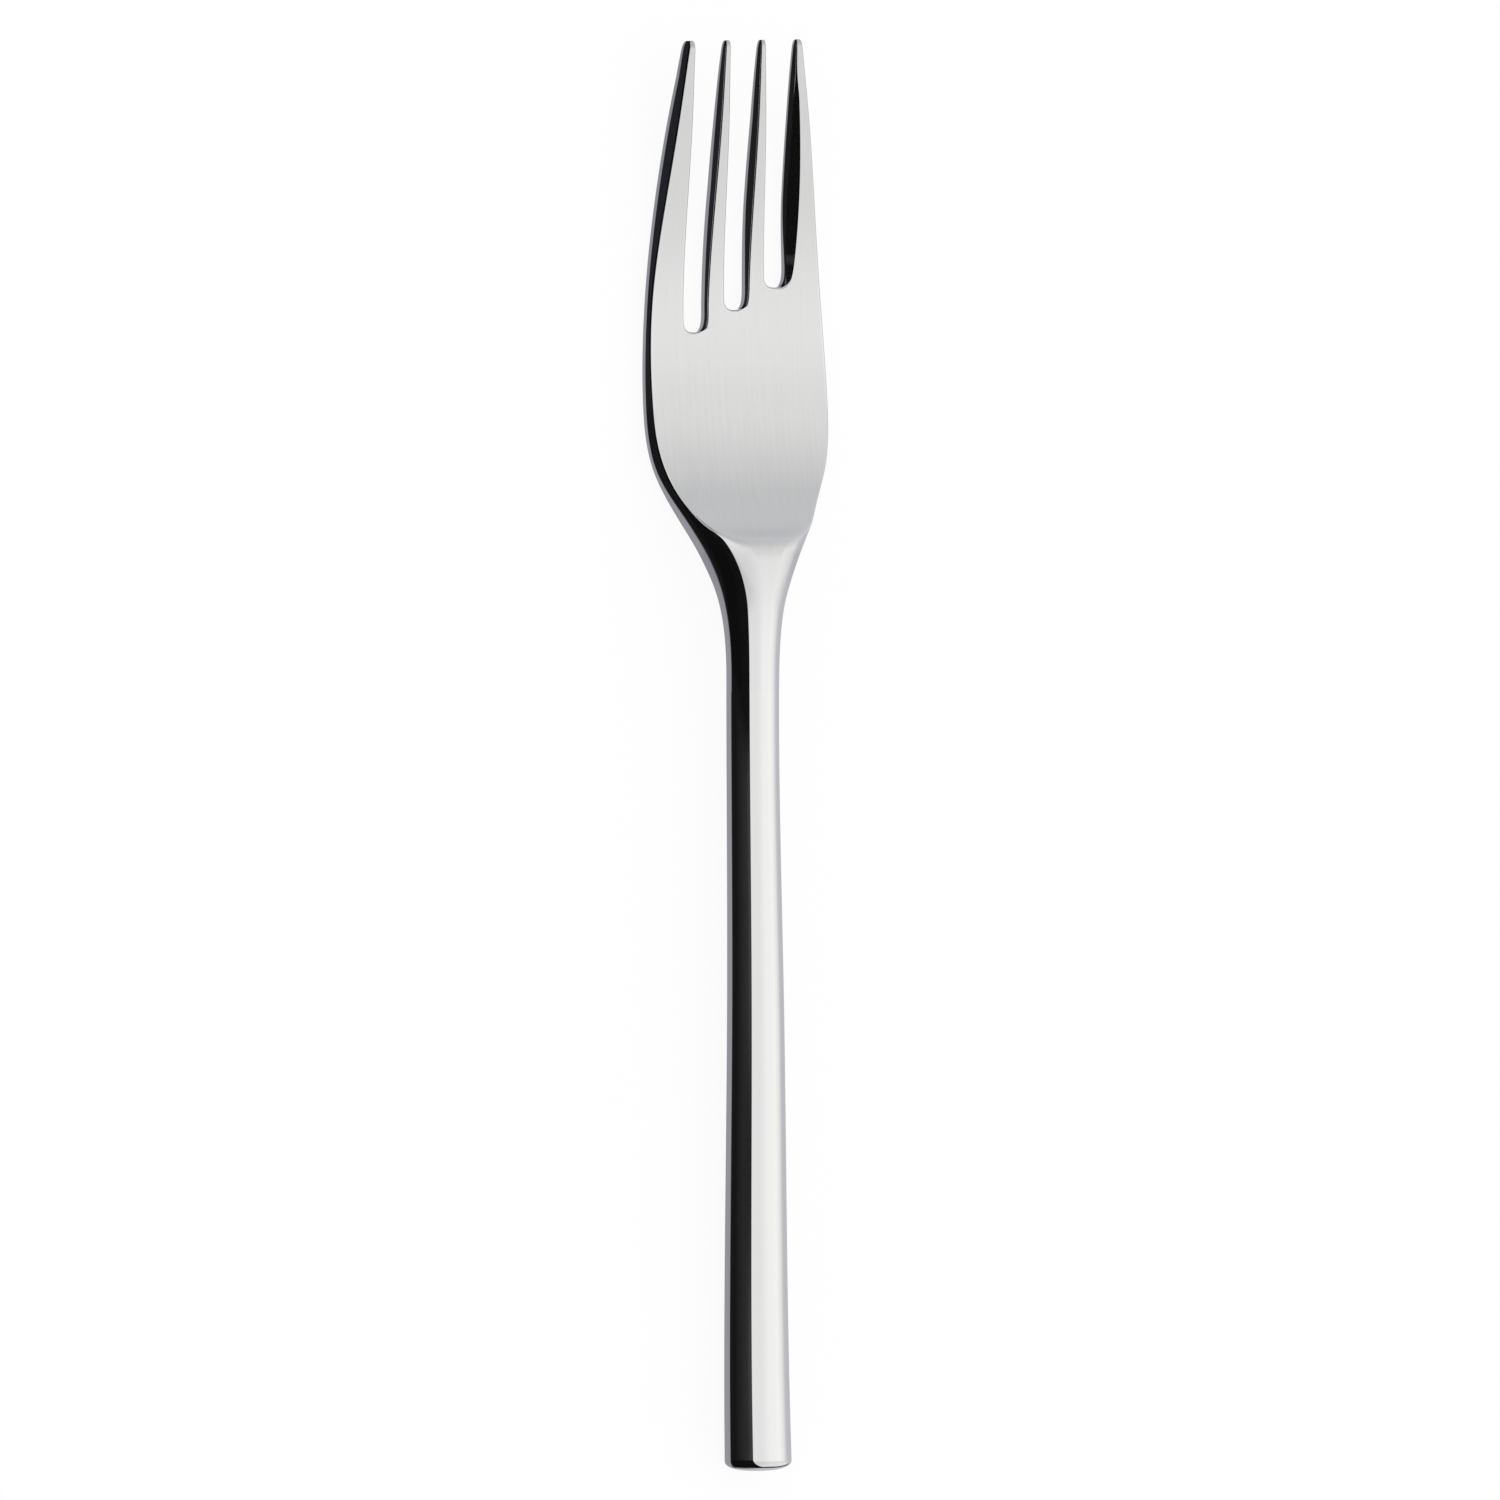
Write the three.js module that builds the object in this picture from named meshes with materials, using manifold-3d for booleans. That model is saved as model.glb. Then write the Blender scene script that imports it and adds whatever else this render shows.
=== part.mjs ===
// A four-tined dessert fork in polished stainless steel, lying on its back as it lies on a table.
// The head, with its tines, bowl, neck and tang, is one forging. The handle is hollow: two half shells
// meet along its sides, close round the tang and take a domed cap at the butt.
// Sizes are in millimetres. X runs across the fork, Y from the butt to the tine tips and Z up.

import * as THREE from 'three';
import { mergeVertices } from 'three/addons/utils/BufferGeometryUtils.js';
import Module from 'manifold-3d';

// Length of the whole fork, and the lengths from each named station to the next, from the tips back
const overallLength = 180;
const tineFrontLength = 9;
const tineMiddleLength = 12;
const tineRearLength = 13;
const bowlRestLength = 6;
const bowlLength = 11.5;
const shoulderLength = 9;
const rampLength = 6;
const crestLength = 5;
const neckLength = 6.5;
const waistLength = 10;
const gripLength = 38;
const buttRestLength = 4;

// Widths across the fork
const tipsWidth = 16.6;
const tineMiddleWidth = 22.4;
const slotRootsWidth = 25.3;
const headWidth = 26.1;
const shoulderWidth = 23.5;
const rampWidth = 17.1;
const crestWidth = 11.4;
const neckWidth = 7.4;
const waistWidth = 6.3;
const gripWidth = 6.8;
const buttWidth = 8.1;

// Thicknesses of the plate that carries the tines and the bowl, up the ramp to where it runs out
const tipsThickness = 2.3;
const tineFrontThickness = 3.45;
const tineMiddleThickness = 3.3;
const slotRootsThickness = 2.5;
const bowlThickness = 2.95;
const shoulderThickness = 3.6;
const rampThickness = 5.55;
const rampEndThickness = 10.2;

// Thicknesses of the bar that carries on as neck and handle
const barThickness = 6.6;
const crestThickness = 7.7;
const neckThickness = 6.55;
const waistThickness = 6.05;
const buttThickness = 7.5;
const creaseSoftness = 0.5;

// Heights of the back above the table, and how sharply the tines curve up
const tineCurve = 2.45;
const tipsRise = 3.5;
const rampRise = 1.08;
const neckRise = 2.13;
const waistRise = 2;
const gripRise = 1.44;

// Edges and corners of the sections
const frontEdgeRadius = 0.2;
const backEdgeRadius = 0.7;
const cornerShare = 0.9;
const cornerExponent = 2.4;
const frontRoundingLead = 3;
const frontRoundingLength = 6;
const backRoundingLength = 14;

// Tines and slots. The three slots share the width that the four tines leave.
const outerTineTipWidth = 0.85;
const outerTineRootWidth = 5;
const innerTineTipWidth = 0.7;
const innerTineRootWidth = 2.65;
const deepestSlot = 36.7;
const slotStep = 2.75;
const tipRounding = 0.8;
const tipFlatShare = 0.5;

// Hollow handle, the tang inside it and the cap at the butt
const shellWall = 0.9;
const tangLength = 32;
const tangClearance = 0.3;
const tangTaper = 0.6;
const capLength = 3;
const capDomeDepth = 1.37;
const domeFlatShare = 0.08;
const capSpigotLength = 4;
const capSpigotClearance = 0.3;

// How finely the curved faces are divided
const cornerSteps = 5;
const rowSpacing = 2.4;
const closeRowSpacing = 0.8;
const tipRowShare = 0.25;
const mergeDistance = 1e-4;
const handleRowSpacing = 5;
const domeSteps = 6;
const arcSteps = 8;

// Stations as distances back from the tine tips
const tips = 0;
const tineFront = tips + tineFrontLength;
const tineMiddle = tineFront + tineMiddleLength;
const slotRoots = tineMiddle + tineRearLength;
const bowlRest = slotRoots + bowlRestLength;
const widest = slotRoots + bowlLength;
const shoulder = widest + shoulderLength;
const ramp = shoulder + rampLength;
const crest = ramp + crestLength;
const neck = crest + neckLength;
const waist = neck + waistLength;
const grip = waist + gripLength;
const butt = overallLength;
const buttRest = butt - buttRestLength;
const cap = butt - capLength;
const tipsY = overallLength / 2;

// A cubic spline through [place, value] pairs. Its ends are either level, or free of bend with the last end
// carried on in a straight line.
function smoothLine(points, levelEnds = false) {
  const bend = points.map(() => 0);
  const carry = points.map(() => 0);
  const last = points.length - 1;
  const span = (i) => points[i + 1][0] - points[i][0];
  const slope = (i) => (points[i + 1][1] - points[i][1]) / span(i);
  if (levelEnds) {
    carry[0] = 0.5;
    bend[0] = 3 * slope(0) / span(0);
  }
  for (let i = 1; i < last; i++) {
    const pivot = 2 * (span(i - 1) + span(i)) - span(i - 1) * carry[i - 1];
    carry[i] = span(i) / pivot;
    bend[i] = (6 * (slope(i) - slope(i - 1)) - span(i - 1) * bend[i - 1]) / pivot;
  }
  const end = last - 1;
  if (levelEnds) {
    bend[last] = -(6 * slope(end) / span(end) + bend[end]) / (2 - carry[end]);
  }
  for (let i = end; i >= 0; i--) {
    bend[i] -= carry[i] * bend[i + 1];
  }
  const endSlope = levelEnds ? 0 : slope(end) + span(end) * bend[end] / 6;
  return (place) => {
    const inside = THREE.MathUtils.clamp(place, points[0][0], points[last][0]);
    let i = 0;
    while (i < end && inside > points[i + 1][0]) {
      i += 1;
    }
    const left = points[i + 1][0] - inside;
    const right = inside - points[i][0];
    const straight = points[i][1] + slope(i) * right;
    const cubic = (bend[i] * left ** 3 + bend[i + 1] * right ** 3) / (6 * span(i));
    const level = span(i) * (bend[i] * left + bend[i + 1] * right) / 6;
    return straight + cubic - level + (place > inside ? (place - inside) * endSlope : 0);
  };
}

// Rises smoothly from 0 at start to 1 after the given length
function ease(place, start, length) {
  const share = THREE.MathUtils.clamp((place - start) / length, 0, 1);
  return share * share * (3 - 2 * share);
}

const halfWidth = smoothLine([
  [tips, tipsWidth / 2],
  [tineMiddle, tineMiddleWidth / 2],
  [slotRoots, slotRootsWidth / 2],
  [widest, headWidth / 2],
  [shoulder, shoulderWidth / 2],
  [ramp, rampWidth / 2],
  [crest, crestWidth / 2],
  [neck, neckWidth / 2],
  [waist, waistWidth / 2],
  [grip, gripWidth / 2],
  [butt, buttWidth / 2],
]);

const plateThickness = smoothLine([
  [tips, tipsThickness],
  [tineFront, tineFrontThickness],
  [tineMiddle, tineMiddleThickness],
  [slotRoots, slotRootsThickness],
  [widest, bowlThickness],
  [shoulder, shoulderThickness],
  [ramp, rampThickness],
  [crest, rampEndThickness],
]);

const bodyThickness = smoothLine([
  [shoulder, barThickness],
  [crest, crestThickness],
  [neck, neckThickness],
  [waist, waistThickness],
  [butt, buttThickness],
]);

const archRise = smoothLine([
  [bowlRest, 0],
  [ramp, rampRise],
  [neck, neckRise],
  [waist, waistRise],
  [grip, gripRise],
  [buttRest, 0],
], true);

// The bowl's ramp runs up into the bar and ends there in a soft crease
function thickness(place) {
  const plate = plateThickness(place);
  const bar = bodyThickness(place);
  return (plate + bar - Math.hypot(plate - bar, creaseSoftness)) / 2;
}

// The tines curve up from the flat under the bowl, and the handle arches between the bowl and the butt
function backHeight(place) {
  const alongTines = Math.max((slotRoots - place) / (slotRoots - tips), 0);
  return tipsRise * alongTines ** tineCurve + Math.max(archRise(place), 0);
}

// A section of the fork: half width, heights of front and back, and half sizes of its corners
function sectionAt(place) {
  const half = halfWidth(place);
  const thick = thickness(place);
  const back = backHeight(place);
  const frontRound = ease(place, ramp - frontRoundingLead, frontRoundingLength);
  const backRound = ease(place, crest, backRoundingLength);
  const fullAcross = cornerShare * half;
  const fullDeep = cornerShare * thick / 2;
  const mix = THREE.MathUtils.lerp;
  return {
    half,
    front: back + thick,
    back,
    frontCorner: [mix(frontEdgeRadius, fullAcross, frontRound), mix(frontEdgeRadius, fullDeep, frontRound)],
    backCorner: [mix(backEdgeRadius, fullAcross, backRound), mix(backEdgeRadius, fullDeep, backRound)],
  };
}

// The bar's section drawn in by the same amount all round
function insetSection(place, inset) {
  const outer = sectionAt(place);
  const half = outer.half - inset;
  const front = outer.front - inset;
  const back = outer.back + inset;
  const corner = [cornerShare * half, cornerShare * (front - back) / 2];
  return { half, front, back, frontCorner: corner, backCorner: corner };
}

// A section drawn in to another half width, with its thickness shrunk towards its middle
function shrunkSection(section, half, share) {
  const middle = (section.front + section.back) / 2;
  const shrink = ([across, deep]) => [across * half / section.half, deep * share];
  return {
    half,
    front: middle + (section.front - middle) * share,
    back: middle + (section.back - middle) * share,
    frontCorner: shrink(section.frontCorner),
    backCorner: shrink(section.backCorner),
  };
}

// Points of one rounded corner, from the side wall round to the front or back face
function cornerPoints(across, deep) {
  const points = [];
  for (let i = 0; i <= cornerSteps; i++) {
    const angle = (i / cornerSteps) * Math.PI / 2;
    const power = 2 / cornerExponent;
    points.push([across * Math.max(Math.cos(angle), 0) ** power, deep * Math.sin(angle) ** power]);
  }
  return points;
}

// The front half of a section, from its right side over the front to its left side
function frontHalf(section) {
  const [across, deep] = section.frontCorner;
  const right = cornerPoints(across, deep).map(([x, z]) => [
    section.half - across + x,
    section.front - deep + z,
  ]);
  const left = right.map(([x, z]) => [-x, z]).reverse();
  return [...right, ...left];
}

// The back half of a section, from its left side under the back to its right side
function backHalf(section) {
  const [across, deep] = section.backCorner;
  const left = cornerPoints(across, deep).map(([x, z]) => [
    -(section.half - across + x),
    section.back + deep - z,
  ]);
  const right = left.map(([x, z]) => [-x, z]).reverse();
  return [...left, ...right];
}

function fullRing(section) {
  return [...frontHalf(section), ...backHalf(section)];
}

// Triangles that close a ring all of whose corners point outwards
function fanCap(count) {
  const triangles = [];
  for (let i = 1; i < count - 1; i++) {
    triangles.push([0, i, i + 1]);
  }
  return triangles;
}

// Triangles that close a ring made of an outer run of points and an inner run coming back
function stripCap(count) {
  const triangles = [];
  const last = count - 1;
  for (let i = 0; i < count / 2 - 1; i++) {
    triangles.push([i, i + 1, last - i], [i + 1, last - i - 1, last - i]);
  }
  return triangles;
}

// A closed skin over rows of rings, each row { place, ring }, with its faces pointing out
function skinOver(rows, capTriangles) {
  const count = rows[0].ring.length;
  const positions = [];
  for (const { place, ring } of rows) {
    for (const [x, z] of ring) {
      positions.push(x, tipsY - place, z);
    }
  }
  const index = [];
  for (let row = 0; row < rows.length - 1; row++) {
    for (let i = 0; i < count; i++) {
      const a = row * count + i;
      const b = row * count + (i + 1) % count;
      index.push(a, b, a + count, b, b + count, a + count);
    }
  }
  const lastRow = (rows.length - 1) * count;
  for (const [a, b, c] of capTriangles) {
    index.push(a, c, b);
    index.push(lastRow + a, lastRow + b, lastRow + c);
  }
  const geometry = new THREE.BufferGeometry();
  geometry.setAttribute('position', new THREE.Float32BufferAttribute(positions, 3));
  geometry.setIndex(index);
  return geometry;
}

// Places from one station to the next, both ends included, no further apart than the spacing
function placesBetween(from, to, spacing) {
  const steps = Math.max(1, Math.ceil((to - from) / spacing));
  return Array.from({ length: steps + 1 }, (_, i) => from + (to - from) * i / steps);
}

const wasm = await Module();
wasm.setup();

function toSolid(geometry) {
  const bare = geometry.clone();
  bare.deleteAttribute('normal');
  bare.deleteAttribute('uv');
  const merged = mergeVertices(bare, mergeDistance);
  return new wasm.Manifold(new wasm.Mesh({
    numProp: 3,
    vertProperties: new Float32Array(merged.attributes.position.array),
    triVerts: new Uint32Array(merged.index.array),
  }));
}

function toGeometry(solid) {
  const mesh = solid.getMesh();
  const geometry = new THREE.BufferGeometry();
  geometry.setAttribute('position', new THREE.Float32BufferAttribute(mesh.vertProperties, 3));
  geometry.setIndex(new THREE.Uint32BufferAttribute(mesh.triVerts, 1));
  return geometry;
}

// How far a round end has still to grow, from 1 at the tips to 0 where it has its full size
function endLeft(place, length) {
  const left = Math.max(0, 1 - (place - tips) / length);
  return 1 - Math.sqrt(1 - left * left);
}

// The head's section, with the ends of the tines rounded in thickness and at their outer corners
function headSection(place) {
  const section = sectionAt(place);
  const tipRadius = outerTineTipWidth / 2;
  const half = section.half - tipRadius * endLeft(place, tipRadius);
  return shrunkSection(section, half, 1 - (1 - tipFlatShare) * endLeft(place, tipRounding));
}

// Left and right edges of the three slots at a place, spaced by the tines between them
function slotEdges(place) {
  const share = (place - tips) / (deepestSlot - tips);
  const mix = THREE.MathUtils.lerp;
  const span = 2 * mix(halfWidth(tips), halfWidth(deepestSlot), share);
  const outer = mix(outerTineTipWidth, outerTineRootWidth, share);
  const inner = mix(innerTineTipWidth, innerTineRootWidth, share);
  const slot = (span - 2 * outer - 2 * inner) / 3;
  const middle = slot / 2;
  const far = middle + inner + slot;
  return [[-far, -middle - inner], [-middle, middle], [middle + inner, far]];
}

const lastSlot = slotEdges(tips).length - 1;

// A cutter for one slot: straight sides, a round root, and a mouth that rounds the tips on both sides
function slotCutter(number) {
  const depth = deepestSlot - number * slotStep;
  const [tipLeft, tipRight] = slotEdges(tips)[number];
  const [deepLeft, deepRight] = slotEdges(depth)[number];
  const rootRadius = (deepRight - deepLeft) / 2;
  const rootY = tipsY - depth + rootRadius;
  const [rootLeft, rootRight] = slotEdges(depth - rootRadius)[number];
  const leftTip = (number === 0 ? outerTineTipWidth : innerTineTipWidth) / 2;
  const rightTip = (number === lastSlot ? outerTineTipWidth : innerTineTipWidth) / 2;
  const beyond = tipsY + tipRounding;
  const shape = new THREE.Shape();
  shape.moveTo(tipLeft - leftTip, beyond);
  shape.lineTo(tipLeft - leftTip, tipsY);
  shape.absarc(tipLeft - leftTip, tipsY - leftTip, leftTip, Math.PI / 2, 0, true);
  shape.lineTo(rootLeft, rootY);
  const rootHalf = (rootRight - rootLeft) / 2;
  shape.absellipse(rootLeft + rootHalf, rootY, rootHalf, rootRadius, Math.PI, 0, false);
  shape.lineTo(tipRight, tipsY - rightTip);
  shape.absarc(tipRight + rightTip, tipsY - rightTip, rightTip, Math.PI, Math.PI / 2, true);
  shape.lineTo(tipRight + rightTip, beyond);
  const height = tipsRise + tipsThickness + bowlThickness;
  const extrusion = { depth: 2 * height, bevelEnabled: false, curveSegments: arcSteps };
  const cutter = new THREE.ExtrudeGeometry(shape, extrusion);
  cutter.translate(0, 0, -height / 2);
  return cutter;
}

// The forged head: rows from the tips to the waist, then the tang that goes into the handle
function headGeometry() {
  const tipRadius = outerTineTipWidth / 2;
  const tipEnd = tips + tipRounding;
  const places = [tips, tips + tipRowShare * tipRadius, tips + tipRadius, tipEnd];
  const headStations = [tipEnd, tineFront, tineMiddle, slotRoots, bowlRest, widest];
  const stations = [...headStations, shoulder, ramp, crest, neck, waist];
  for (let i = 0; i < stations.length - 1; i++) {
    const close = stations[i] >= shoulder && stations[i] < neck;
    const spacing = close ? closeRowSpacing : rowSpacing;
    places.push(...placesBetween(stations[i], stations[i + 1], spacing).slice(1));
  }
  const rows = places.map((place) => ({ place, ring: fullRing(headSection(place)) }));
  for (const place of placesBetween(waist, waist + tangLength, handleRowSpacing)) {
    const inset = shellWall + tangClearance + tangTaper * (place - waist) / tangLength;
    rows.push({ place, ring: fullRing(insetSection(place, inset)) });
  }
  let solid = toSolid(skinOver(rows, fanCap(rows[0].ring.length)));
  for (let number = 0; number <= lastSlot; number++) {
    solid = solid.subtract(toSolid(slotCutter(number)));
  }
  return toGeometry(solid);
}

// One half of the hollow handle, cut from the other along the middle of its sides
function shellGeometry(halfOf) {
  const rows = placesBetween(waist, cap, handleRowSpacing).map((place) => {
    const outer = sectionAt(place);
    const inner = insetSection(place, shellWall);
    const seam = (outer.front + outer.back) / 2;
    const side = halfOf === frontHalf ? 1 : -1;
    const withSeam = (section) => [
      [side * section.half, seam],
      ...halfOf(section),
      [-side * section.half, seam],
    ];
    return { place, ring: [...withSeam(outer), ...withSeam(inner).reverse()] };
  });
  return skinOver(rows, stripCap(rows[0].ring.length));
}

// The domed cap: a spigot inside the shells, a rim flush with them and a dome over the end
function capGeometry() {
  const spigotInset = shellWall + capSpigotClearance;
  const rows = [cap - capSpigotLength, cap].map((place) => ({
    place,
    ring: fullRing(insetSection(place, spigotInset)),
  }));
  rows.push({ place: cap, ring: fullRing(sectionAt(cap)) });
  const power = 2 / cornerExponent;
  for (let i = 0; i <= domeSteps; i++) {
    const angle = (i / domeSteps) * Math.PI / 2;
    const place = butt - capDomeDepth * (1 - Math.sin(angle) ** power);
    const share = Math.max(Math.cos(angle), domeFlatShare) ** power;
    const section = sectionAt(place);
    rows.push({ place, ring: fullRing(shrunkSection(section, section.half * share, share)) });
  }
  return skinOver(rows, fanCap(rows[0].ring.length));
}

const steel = { color: 0xc8c9cb, metalness: 1, roughness: 0.14 };

function addPiece(group, name, geometry) {
  geometry.computeVertexNormals();
  const mesh = new THREE.Mesh(geometry, new THREE.MeshStandardMaterial(steel));
  mesh.name = name;
  group.add(mesh);
}

const fork = new THREE.Group();
addPiece(fork, 'fork_head', headGeometry());
addPiece(fork, 'handle_front_shell', shellGeometry(frontHalf));
addPiece(fork, 'handle_back_shell', shellGeometry(backHalf));
addPiece(fork, 'butt_cap', capGeometry());

export default fork;
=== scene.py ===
"""A dessert fork in polished stainless steel: its finished surfaces, and a plain studio to show it in.

Lengths along the fork are places, in millimetres back from the tine tips. Heights and widths are in
millimetres too, and the meshes are written in metres.
"""

import math

import bpy
import numpy as np
from mathutils import Matrix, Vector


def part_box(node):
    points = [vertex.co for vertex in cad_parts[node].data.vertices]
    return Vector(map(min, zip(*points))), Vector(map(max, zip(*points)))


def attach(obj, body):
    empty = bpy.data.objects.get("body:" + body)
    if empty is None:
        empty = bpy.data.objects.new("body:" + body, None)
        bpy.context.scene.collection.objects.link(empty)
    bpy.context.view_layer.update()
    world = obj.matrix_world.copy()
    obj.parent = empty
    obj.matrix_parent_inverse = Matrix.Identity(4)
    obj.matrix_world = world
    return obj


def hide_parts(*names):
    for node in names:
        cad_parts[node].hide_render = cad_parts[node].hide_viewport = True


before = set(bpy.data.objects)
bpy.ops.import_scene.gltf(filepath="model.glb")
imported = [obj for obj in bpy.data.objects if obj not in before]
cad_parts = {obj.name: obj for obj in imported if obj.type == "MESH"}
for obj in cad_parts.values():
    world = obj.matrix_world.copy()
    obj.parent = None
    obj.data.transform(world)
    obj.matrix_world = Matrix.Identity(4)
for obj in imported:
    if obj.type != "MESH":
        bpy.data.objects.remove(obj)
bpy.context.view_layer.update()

bl_info = {
    "name": "Dessert Fork",
    "version": (1, 0, 0),
    "blender": (4, 5, 0),
    "location": "3D View > Sidebar > Fork",
    "description": "Builds a polished steel dessert fork and the studio round it",
    "category": "Object",
}

MM = 0.001

# Stations along the fork. Tips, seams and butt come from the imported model.
TIPS_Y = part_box("fork_head")[1].y / MM
TINE_FRONT = 9.0
TINE_MIDDLE = 21.0
SLOT_ROOTS = 34.0
BOWL_REST = 40.0
WIDEST = 45.5
SHOULDER = 54.5
RAMP = 60.5
CREST = 65.5
NECK = 72.0
WAIST = TIPS_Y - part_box("handle_front_shell")[1].y / MM
GRIP = WAIST + 38.0
CAP = TIPS_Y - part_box("handle_front_shell")[0].y / MM
BUTT = TIPS_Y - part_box("butt_cap")[0].y / MM
BUTT_REST = BUTT - 4.0

# Widths across the fork, at the stations
TIPS_WIDTH = 16.6
TINE_MIDDLE_WIDTH = 22.4
SLOT_ROOTS_WIDTH = 25.3
HEAD_WIDTH = 26.09
SHOULDER_WIDTH = 23.5
RAMP_WIDTH = 17.1
CREST_WIDTH = 11.2
NECK_WIDTH = 7.4
WAIST_WIDTH = 6.3
GRIP_WIDTH = 6.8
BUTT_WIDTH = 8.1

# Thicknesses of the plate of tines and bowl, and of the bar of neck and handle
TIPS_THICKNESS = 2.3
TINE_FRONT_THICKNESS = 3.45
TINE_MIDDLE_THICKNESS = 3.3
SLOT_ROOTS_THICKNESS = 2.5
BOWL_THICKNESS = 2.95
SHOULDER_THICKNESS = 3.6
RAMP_THICKNESS = 5.55
RAMP_END_THICKNESS = 10.6
BAR_THICKNESS = 6.6
CREST_THICKNESS = 7.68
NECK_THICKNESS = 6.55
WAIST_THICKNESS = 6.05
BUTT_THICKNESS = 7.5

# How softly the ramp ends at the crease, and how far on both sides of its station the softness eases in
CREASE_SOFTNESS = 0.42
CREASE_LEAD = 2.0

# Heights of the back above the table, how sharply the tines curve up, and how much the tines after the first
# are thinned at the back: in full up to the start, and fading over the length
TIPS_RISE = 3.5
TINE_CURVE = 2.45
TINE_RELIEF = 0.85
RELIEF_START = 7.0
RELIEF_LENGTH = 24.0
RAMP_RISE = 1.08
NECK_RISE = 2.13
WAIST_RISE = 2.0
GRIP_RISE = 1.44

# The bar's corners: their shares of half its width and half its thickness, and how square they are along the
# handle and at the crest
CORNER_SHARE = 0.9
CORNER_DEPTH_SHARE = 0.98
CORNER_EXPONENT = 2.4
CREST_EXPONENT = 3.1
# Back edges of the head: depth for their width, squareness, and how they grow into the bar's corners
BACK_EDGE_DEPTH = 2.0
BACK_EDGE_EXPONENT = 2.0
BACK_ROUNDING_LENGTH = 14.0
BACK_DEEPENING_LEAD = 2.0
BACK_DEEPENING_LENGTH = 9.0
BACK_DEEPENING_SHARE = 0.6
# Weight that makes an edge's curve a quarter ellipse, and the front edge's least share on a leaning flank
EDGE_WEIGHT = math.sqrt(0.5)
LEAST_EDGE_SHARE = 0.1

# Tines and slots: widths of the tines at the tips and at the deepest root, and how deep the slots go
OUTER_TINE_TIP_WIDTH = 0.85
OUTER_TINE_ROOT_WIDTH = 5.0
INNER_TINE_TIP_WIDTH = 0.7
INNER_TINE_ROOT_WIDTH = 2.65
SLOTS = 3
DEEPEST_SLOT = 36.7
SLOT_STEP = 2.75
# Corners of the slots' roots: how square they are, and their length for half the slot's width
LEFT_ROOT_EXPONENT = 3.0
LEFT_ROOT_LENGTH = 1.0
RIGHT_ROOT_EXPONENT = 3.6
RIGHT_ROOT_LENGTH = 2.0
# Tips: length of the rounding, share of the thickness left at the end, and corners for the tip's width
TIP_ROUNDING = 1.2
TIP_FLAT_SHARE = 0.4
TIP_CORNER_SHARE = 0.35
# Largest edges, as shares of a tine's width, and the back edges' largest share of the thickness left
FRONT_EDGE_LIMIT = 0.3
BACK_EDGE_LIMIT = 0.48
BACK_DEPTH_LIMIT = 0.85
# After the second tine, the slots' back edges get sharper by this share a tine: in full from the tips to
# the end, and fading behind it
SHARPER_STEP = 0.27
SHARPER_END = 20.0
SHARPER_FADE = 11.0

# Scoop along the inner edge of the last tine: where it starts, how it swells and fades, its depth for its
# width, and the share of the corner from which on it is cut straight. Where it takes up less it is rounded.
SCOOP_START = 2.5
SCOOP_RISE = 1.5
SCOOP_FALL = 0.88
SCOOP_DEPTH_SHARE = 1.15
SCOOP_STRAIGHT = 0.45

# Hollow handle, the tang inside it and the cap at the butt
SHELL_WALL = 0.9
TANG_LENGTH = 32.0
TANG_CLEARANCE = 0.3
TANG_TAPER = 0.6
DOME_DEPTH = 1.37
DOME_FLAT_SHARE = 0.08
SPIGOT_LENGTH = 4.0
SPIGOT_CLEARANCE = 0.3

# How finely the surfaces are divided, and the place where the tines' faces give way to whole sections
BAND_END = 46.0
TIP_ROWS = 10
SIDE_ROWS = 60
ROOT_ROWS = 24
BOWL_ROWS = 20
SHOULDER_ROWS = 24
CREASE_ROWS = 120
NECK_ROWS = 24
TANG_ROWS = 12
HANDLE_ROWS = 96
DOME_ROWS = 32
BAND_COLUMNS = 10
BAR_CORNER_STEPS = 24
BACK_STEPS = 12
EDGE_STEPS = 8
WALL_STEPS = 24
# Points this near, in millimetres, are one point, and edges that turn by more than this are shaded sharp
WELD = 5e-5
SHARP_ANGLE = math.radians(40)

# How far before the crest the satin of the head's front starts to fade, and over what length
SATIN_LEAD = 1.5
SATIN_FADE = 2.0

# Camera of the photograph: pixels per millimetre, tilt about the fork's length, roll and aim
FRAME_PIXELS = 1500
PIXELS_PER_MM = 7.95
CAMERA_TILT = math.radians(32)
CAMERA_ROLL = math.radians(0.806)
AIM_ACROSS = 2.214
AIM_ALONG = 0.69
CAMERA_DISTANCE = 0.6


class ForkEdges(bpy.types.PropertyGroup):
    """Roundings that are worked on the head's edges."""

    front: bpy.props.FloatProperty(
        name="Front edge", description="Rounding of the edges round the front of the head",
        default=0.28 * MM, min=0, unit="LENGTH", precision=5)
    outline: bpy.props.FloatProperty(
        name="Back edge", description="Rounding of the outer edges at the back of the head",
        default=0.7 * MM, min=0, unit="LENGTH", precision=5)
    slot: bpy.props.FloatProperty(
        name="Slot back edge", description="Rounding of the slots' edges at the back",
        default=0.8 * MM, min=0, unit="LENGTH", precision=5)
    scoop: bpy.props.FloatProperty(
        name="Scoop", description="Greatest width of the scoop along the last tine's inner edge",
        default=0.8 * MM, min=0, unit="LENGTH", precision=5)


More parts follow.
